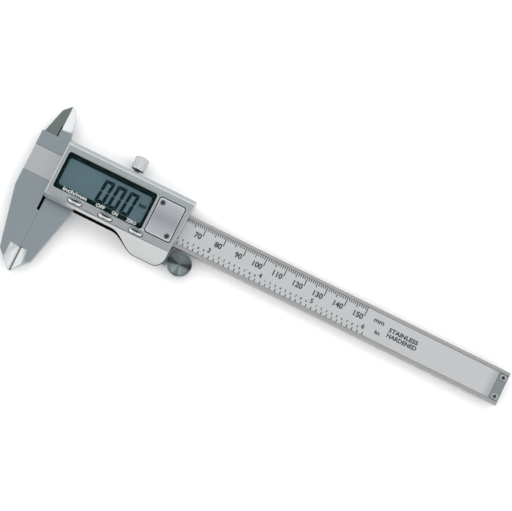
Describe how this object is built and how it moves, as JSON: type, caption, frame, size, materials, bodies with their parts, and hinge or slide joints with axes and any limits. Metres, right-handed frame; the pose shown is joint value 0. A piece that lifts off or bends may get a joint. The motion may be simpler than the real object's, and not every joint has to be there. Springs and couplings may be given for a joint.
{
  "type": "digital caliper",
  "caption": "Digital caliper with a sliding display head, outside and inside jaws, depth rod, lock screw and thumb roller on a graduated steel beam.",
  "frame": {"origin": "under the middle of the whole tool, on the plane of the slider's back cover", "axes": "+X along the beam from the jaws to the free end, +Y towards the inside jaws and the lock screw, +Z out of the display"},
  "size_m": [0.235, 0.0782, 0.0152],
  "materials": {
    "ground_steel": "satin",
    "satin_steel": "satin",
    "bright_steel": "polished",
    "spring_brass": "satin",
    "etched_panel": "satin",
    "board_green": "satin",
    "black_plastic": "gloss",
    "zebra_rubber": "matte",
    "display_glass": "satin",
    "lens_clear": "gloss"
  },
  "bodies": {
    "beam": {"beam": "ground_steel", "stator_strip": "board_green", "scale_plate": "etched_panel", "scale_end_clamp": "ground_steel", "beam_end_stop": "ground_steel", "end_screw_1": "bright_steel", "end_screw_2": "bright_steel"},
    "slider": {"slider_frame": "ground_steel", "gib_strip": "spring_brass", "gib_screw_1": "bright_steel", "gib_screw_2": "bright_steel", "depth_rod": "bright_steel", "depth_rod_screw": "bright_steel", "roller_axle": "bright_steel", "rear_cover": "satin_steel", "rear_cover_screw_1": "bright_steel", "rear_cover_screw_2": "bright_steel", "rear_cover_screw_3": "bright_steel", "rear_cover_screw_4": "bright_steel", "housing": "satin_steel", "window_lens": "lens_clear", "lcd_glass": "display_glass", "zebra_strip_top": "zebra_rubber", "zebra_strip_bottom": "zebra_rubber", "circuit_board": "board_green", "controller_chip": "black_plastic", "unit_switch_dome": "spring_brass", "power_switch_dome": "spring_brass", "zero_switch_dome": "spring_brass", "battery": "bright_steel", "battery_contact_minus": "spring_brass", "battery_contact_plus": "spring_brass"},
    "lock_pad": {"lock_pad": "spring_brass"},
    "lock_screw": {"lock_screw": "bright_steel"},
    "thumb_roller": {"thumb_roller": "ground_steel"},
    "unit_button": {"unit_button": "bright_steel"},
    "power_button": {"power_button": "bright_steel"},
    "zero_button": {"zero_button": "bright_steel"},
    "battery_cover": {"battery_cover": "satin_steel", "battery_cover_screw_1": "bright_steel", "battery_cover_screw_2": "bright_steel"}
  },
  "joints": [
    {"name": "slider_slide", "type": "slide", "parent": "beam", "child": "slider", "axis": [1, 0, 0], "range_m": [0, 0.152]},
    {"name": "thumb_roller_spin", "type": "hinge", "parent": "slider", "child": "thumb_roller", "pos_m": [-0.0363, -0.0036, 0.0055], "axis": [0, 0, 1], "range_deg": [0, 1480]},
    {"name": "lock_feed", "type": "slide", "parent": "slider", "child": "lock_pad", "axis": [0, -1, 0], "range_m": [0, 0.00025]},
    {"name": "lock_turn", "type": "hinge", "parent": "lock_pad", "child": "lock_screw", "pos_m": [-0.07175, 0.0296, 0.0046], "axis": [0, -1, 0], "range_deg": [0, 200]},
    {"name": "unit_button_press", "type": "slide", "parent": "slider", "child": "unit_button", "axis": [0, 0, -1], "range_m": [0, 0.0004], "stiffness_N_per_m": 2500},
    {"name": "power_button_press", "type": "slide", "parent": "slider", "child": "power_button", "axis": [0, 0, -1], "range_m": [0, 0.0004], "stiffness_N_per_m": 2500},
    {"name": "zero_button_press", "type": "slide", "parent": "slider", "child": "zero_button", "axis": [0, 0, -1], "range_m": [0, 0.0004], "stiffness_N_per_m": 2500},
    {"name": "battery_cover_lift", "type": "slide", "parent": "slider", "child": "battery_cover", "axis": [0, 0, 1], "range_m": [0, 0.008]}
  ],
  "couplings": [
    {"joint": "thumb_roller_spin", "follows": "slider_slide", "rad_per_m": 169.49},
    {"joint": "lock_turn", "follows": "lock_feed", "rad_per_m": 13962}
  ]
}
